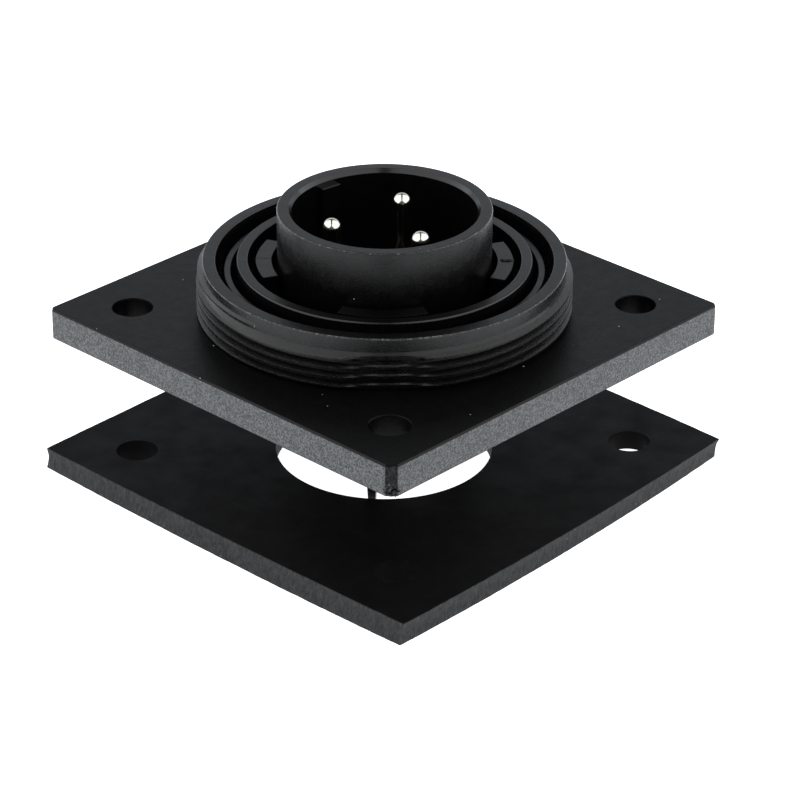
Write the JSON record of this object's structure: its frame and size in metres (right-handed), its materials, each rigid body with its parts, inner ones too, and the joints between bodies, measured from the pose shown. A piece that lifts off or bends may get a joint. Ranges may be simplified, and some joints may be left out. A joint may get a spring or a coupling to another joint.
{
  "type": "flange mount circular connector",
  "caption": "Panel-mount circular power connector: square flange, threaded collar, open barrel with contact pins, and a loose square rubber flange gasket.",
  "frame": {"origin": "on the connector's axis, in the plane that its rear feet and the loose gasket stand on", "axes": "+Z along the connector's axis towards the mating end; X and Y parallel to the flange's edges"},
  "size_m": [0.0516, 0.0516, 0.0293],
  "materials": {
    "moulding": "fine spark-eroded black moulding",
    "gasket_rubber": "die-cut black sheet rubber",
    "seal_rubber": "smooth moulded O-ring",
    "contact_plating": "bright nickel plate on brass",
    "zinc_steel": "bright zinc plate"
  },
  "bodies": {
    "connector": {"flange_body": "moulding", "contact_insert": "moulding", "insert_o_ring": "seal_rubber", "terminal_block": "moulding", "block_screw": "zinc_steel", "contact_1": "contact_plating", "contact_2": "contact_plating", "contact_3": "contact_plating", "pin_seal_1": "seal_rubber", "pin_seal_2": "seal_rubber", "pin_seal_3": "seal_rubber"},
    "gasket": {"flange_gasket": "gasket_rubber"},
    "clamp_1": {"clamp_plate_1": "zinc_steel"},
    "clamp_2": {"clamp_plate_2": "zinc_steel"},
    "clamp_3": {"clamp_plate_3": "zinc_steel"},
    "screw_1": {"terminal_screw_1": "zinc_steel"},
    "screw_2": {"terminal_screw_2": "zinc_steel"},
    "screw_3": {"terminal_screw_3": "zinc_steel"}
  },
  "joints": [
    {"name": "gasket_lift", "type": "slide", "parent": "connector", "child": "gasket", "axis": [0, 0, 1], "range_m": [0, 0.0127]},
    {"name": "clamp_1_open", "type": "slide", "parent": "connector", "child": "clamp_1", "axis": [-0.4226, 0.9063, 0], "range_m": [0, 0.00136]},
    {"name": "screw_1_turn", "type": "hinge", "parent": "clamp_1", "child": "screw_1", "pos_m": [-0.00338, 0.00725, 0.00805], "axis": [-0.4226, 0.9063, 0], "range_deg": [0, 1080]},
    {"name": "clamp_2_open", "type": "slide", "parent": "connector", "child": "clamp_2", "axis": [-0.5736, -0.8192, 0], "range_m": [0, 0.00136]},
    {"name": "screw_2_turn", "type": "hinge", "parent": "clamp_2", "child": "screw_2", "pos_m": [-0.00459, -0.00655, 0.00805], "axis": [-0.5736, -0.8192, 0], "range_deg": [0, 1080]},
    {"name": "clamp_3_open", "type": "slide", "parent": "connector", "child": "clamp_3", "axis": [0.9962, -0.0872, 0], "range_m": [0, 0.00136]},
    {"name": "screw_3_turn", "type": "hinge", "parent": "clamp_3", "child": "screw_3", "pos_m": [0.00797, -0.0007, 0.00805], "axis": [0.9962, -0.0872, 0], "range_deg": [0, 1080]}
  ],
  "couplings": [
    {"joint": "clamp_1_open", "follows": "screw_1_turn", "m_per_rad": 0.00007162},
    {"joint": "clamp_2_open", "follows": "screw_2_turn", "m_per_rad": 0.00007162},
    {"joint": "clamp_3_open", "follows": "screw_3_turn", "m_per_rad": 0.00007162}
  ]
}
